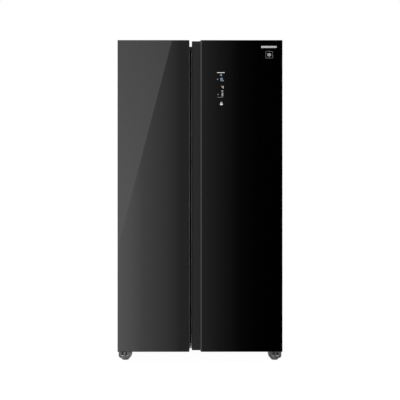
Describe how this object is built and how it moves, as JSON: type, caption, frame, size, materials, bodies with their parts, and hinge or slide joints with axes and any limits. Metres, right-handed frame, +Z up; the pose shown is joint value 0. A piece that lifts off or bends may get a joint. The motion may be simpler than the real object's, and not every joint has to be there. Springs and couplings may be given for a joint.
{
  "type": "side by side refrigerator",
  "caption": "Free-standing side by side refrigerator with black glass doors, a full-height grip channel between them and a fitted freezer and fridge interior.",
  "frame": {"origin": "centre of the bounding box on the floor, under the feet and rear rollers", "axes": "+Z up, doors face -Y, +X towards the fridge side on the right seen from the front"},
  "size_m": [0.91, 0.7, 1.778],
  "materials": {
    "black_glass": "back-painted gloss",
    "door_frame": "satin",
    "grip_profile": "satin dark grey",
    "door_foam": "matt",
    "foam": "matt",
    "door_liner": "satin white",
    "liner": "satin white",
    "seal": "matt",
    "clear_bin": "clear",
    "clear_drawer": "clear",
    "shelf_glass": "clear",
    "shelf_trim": "satin",
    "cabinet_steel": "fine textured dark grey paint",
    "galvanised": "zinc coated",
    "zinc": "zinc plated",
    "black_plastic": "satin",
    "foot_plastic": "satin",
    "cover_plastic": "satin",
    "compressor_black": "gloss black",
    "copper": "bare copper",
    "condenser_steel": "black paint",
    "aluminium_fins": "bare",
    "rubber_black": "matt",
    "nylon": "satin",
    "fan_plastic": "satin",
    "led_diffuser": "frosted",
    "circuit_board": "satin",
    "ice_tray_blue": "satin",
    "ice_white": "satin",
    "duct_plastic": "satin"
  },
  "bodies": {
    "cabinet": {"side_panel_left": "cabinet_steel", "side_panel_right": "cabinet_steel", "top_panel": "cabinet_steel", "back_panel": "galvanised", "base_pan": "galvanised", "cabinet_foam": "foam", "freezer_liner": "liner", "fridge_liner": "liner", "mullion_trim": "cabinet_steel", "top_hinges": "zinc", "hinge_covers": "cover_plastic", "lower_hinges": "zinc", "hinge_bolts": "zinc", "compressor": "compressor_black", "compressor_mounts": "rubber_black", "condenser": "condenser_steel", "fan_frame": "black_plastic", "drain_tray": "black_plastic", "machine_cover": "black_plastic", "evaporator": "aluminium_fins", "freezer_duct_panel": "duct_plastic", "fridge_duct_panel": "duct_plastic", "refrigerant_pipes": "copper", "control_box": "black_plastic", "mains_gland": "rubber_black", "glass_shelves": "shelf_glass", "shelf_trims": "shelf_trim", "led_lamps": "led_diffuser", "ice_maker_frame": "ice_white", "ice_bin": "clear_drawer", "roller_brackets": "zinc", "roller_axles": "zinc"},
    "levelling_foot_left": {"levelling_foot_left": "foot_plastic"},
    "levelling_foot_right": {"levelling_foot_right": "foot_plastic"},
    "front_roller_left": {"front_roller_left": "nylon"},
    "front_roller_right": {"front_roller_right": "nylon"},
    "rear_roller_left": {"rear_roller_left": "nylon"},
    "rear_roller_right": {"rear_roller_right": "nylon"},
    "condenser_fan": {"condenser_fan": "fan_plastic"},
    "evaporator_fan": {"evaporator_fan": "fan_plastic"},
    "freezer_drawer_upper": {"freezer_drawer_upper": "clear_drawer"},
    "freezer_drawer_lower": {"freezer_drawer_lower": "clear_drawer"},
    "crisper_drawer_upper": {"crisper_drawer_upper": "clear_drawer"},
    "crisper_drawer_lower": {"crisper_drawer_lower": "clear_drawer"},
    "ice_tray_left": {"ice_tray_left": "ice_tray_blue"},
    "ice_tray_right": {"ice_tray_right": "ice_tray_blue"},
    "freezer_door": {"freezer_door_glass": "black_glass", "freezer_door_shell": "door_frame", "freezer_door_foam": "door_foam", "freezer_door_liner": "door_liner", "freezer_door_gasket": "seal", "freezer_door_bins": "clear_bin"},
    "fridge_door": {"fridge_door_glass": "black_glass", "fridge_door_shell": "door_frame", "fridge_door_foam": "door_foam", "fridge_door_liner": "door_liner", "fridge_door_gasket": "seal", "fridge_door_bins": "clear_bin", "fridge_door_grip": "grip_profile", "control_panel": "circuit_board"}
  },
  "joints": [
    {"name": "freezer_door_swing", "type": "hinge", "parent": "cabinet", "child": "freezer_door", "pos_m": [-0.441, -0.315, 0.9], "axis": [0, 0, -1], "range_deg": [0, 120]},
    {"name": "fridge_door_swing", "type": "hinge", "parent": "cabinet", "child": "fridge_door", "pos_m": [0.441, -0.315, 0.9], "axis": [0, 0, 1], "range_deg": [0, 120]},
    {"name": "freezer_drawer_upper_slide", "type": "slide", "parent": "cabinet", "child": "freezer_drawer_upper", "axis": [0, -1, 0], "range_m": [0, 0.11]},
    {"name": "freezer_drawer_lower_slide", "type": "slide", "parent": "cabinet", "child": "freezer_drawer_lower", "axis": [0, -1, 0], "range_m": [0, 0.08]},
    {"name": "crisper_drawer_upper_slide", "type": "slide", "parent": "cabinet", "child": "crisper_drawer_upper", "axis": [0, -1, 0], "range_m": [0, 0.11]},
    {"name": "crisper_drawer_lower_slide", "type": "slide", "parent": "cabinet", "child": "crisper_drawer_lower", "axis": [0, -1, 0], "range_m": [0, 0.08]},
    {"name": "ice_tray_left_twist", "type": "hinge", "parent": "cabinet", "child": "ice_tray_left", "pos_m": [-0.311, 0.02, 1.634], "axis": [0, -1, 0], "range_deg": [0, 110], "stiffness_Nm_per_rad": 0.5},
    {"name": "ice_tray_right_twist", "type": "hinge", "parent": "cabinet", "child": "ice_tray_right", "pos_m": [-0.185, 0.02, 1.634], "axis": [0, -1, 0], "range_deg": [0, 110], "stiffness_Nm_per_rad": 0.5},
    {"name": "levelling_foot_left_turn", "type": "hinge", "parent": "cabinet", "child": "levelling_foot_left", "pos_m": [-0.419, -0.262, 0.03], "axis": [0, 0, 1], "continuous": true},
    {"name": "levelling_foot_right_turn", "type": "hinge", "parent": "cabinet", "child": "levelling_foot_right", "pos_m": [0.419, -0.262, 0.03], "axis": [0, 0, 1], "continuous": true},
    {"name": "front_roller_left_spin", "type": "hinge", "parent": "cabinet", "child": "front_roller_left", "pos_m": [-0.417, -0.156, 0.023], "axis": [1, 0, 0], "continuous": true},
    {"name": "front_roller_right_spin", "type": "hinge", "parent": "cabinet", "child": "front_roller_right", "pos_m": [0.417, -0.156, 0.023], "axis": [1, 0, 0], "continuous": true},
    {"name": "rear_roller_left_spin", "type": "hinge", "parent": "cabinet", "child": "rear_roller_left", "pos_m": [-0.417, 0.29, 0.022], "axis": [1, 0, 0], "continuous": true},
    {"name": "rear_roller_right_spin", "type": "hinge", "parent": "cabinet", "child": "rear_roller_right", "pos_m": [0.417, 0.29, 0.022], "axis": [1, 0, 0], "continuous": true},
    {"name": "condenser_fan_spin", "type": "hinge", "parent": "cabinet", "child": "condenser_fan", "pos_m": [-0.058, 0.24, 0.168], "axis": [1, 0, 0], "continuous": true},
    {"name": "evaporator_fan_spin", "type": "hinge", "parent": "cabinet", "child": "evaporator_fan", "pos_m": [-0.24775, 0.246, 1.352], "axis": [0, 1, 0], "continuous": true}
  ]
}
